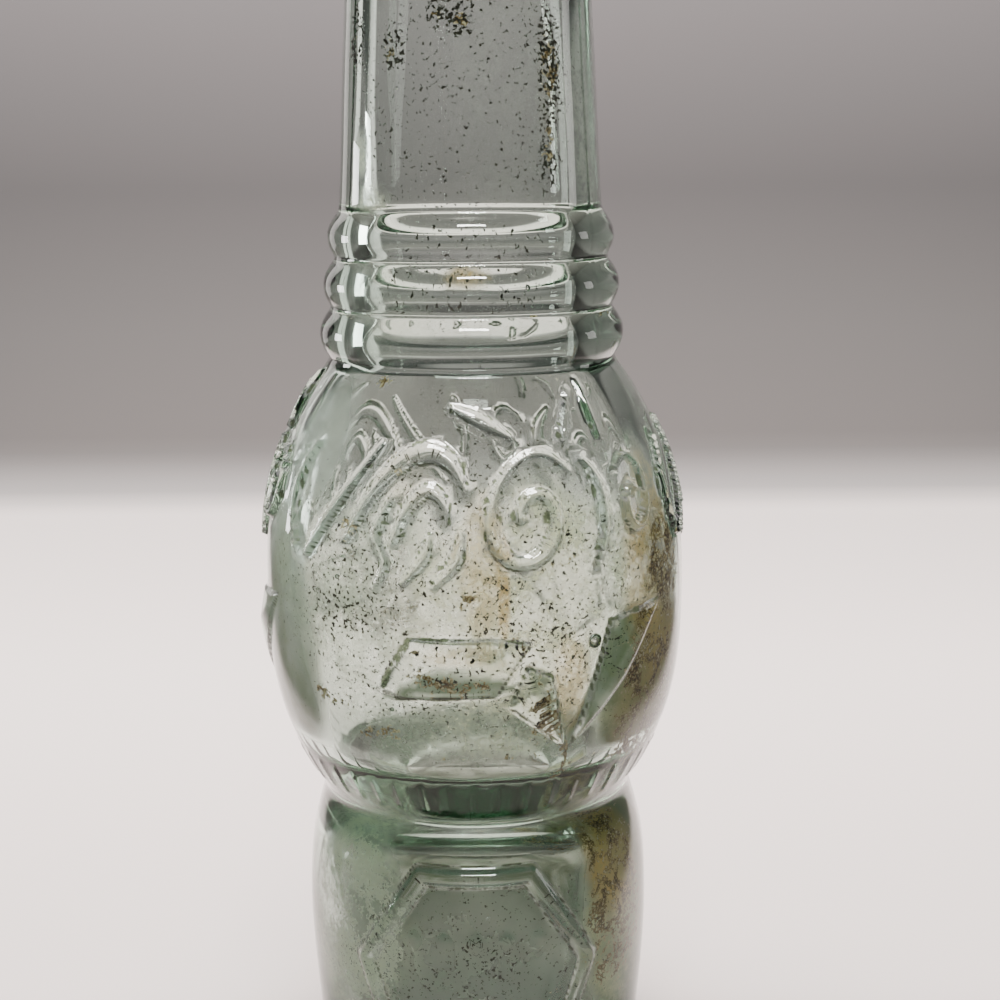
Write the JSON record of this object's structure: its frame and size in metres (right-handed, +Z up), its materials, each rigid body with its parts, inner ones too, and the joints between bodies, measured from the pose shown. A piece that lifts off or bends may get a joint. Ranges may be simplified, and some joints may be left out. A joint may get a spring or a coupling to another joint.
{
  "type": "soda bottle",
  "caption": "Thick pale green glass soda bottle with a ringed neck, a wide bulb over a narrower lower body, raised ornament and a lift-off crown closure.",
  "frame": {"origin": "centre of the foot ring on the surface the bottle stands on", "axes": "+Z up along the bottle's own axis; the front, with a bordered panel at its middle, faces -Y"},
  "size_m": [0.0601, 0.0603, 0.2006],
  "materials": {
    "glass": "pale aqua green pressed glass, clear and glossy, with old mineral haze and rusty dirt on the inside",
    "tinplate": "aged bare tinplate, dull grey with rust at the flutes' ends",
    "cork": "old composition cork, matt brown",
    "foil": "thin plain metal foil, satin"
  },
  "bodies": {
    "bottle": {"glass_bottle": "glass"},
    "crown": {"crown_shell": "tinplate", "cork_disc": "cork", "foil_spot": "foil"}
  },
  "joints": [
    {"name": "crown_lift", "type": "slide", "parent": "bottle", "child": "crown", "axis": [0, 0, 1], "range_m": [0, 0.025]}
  ]
}
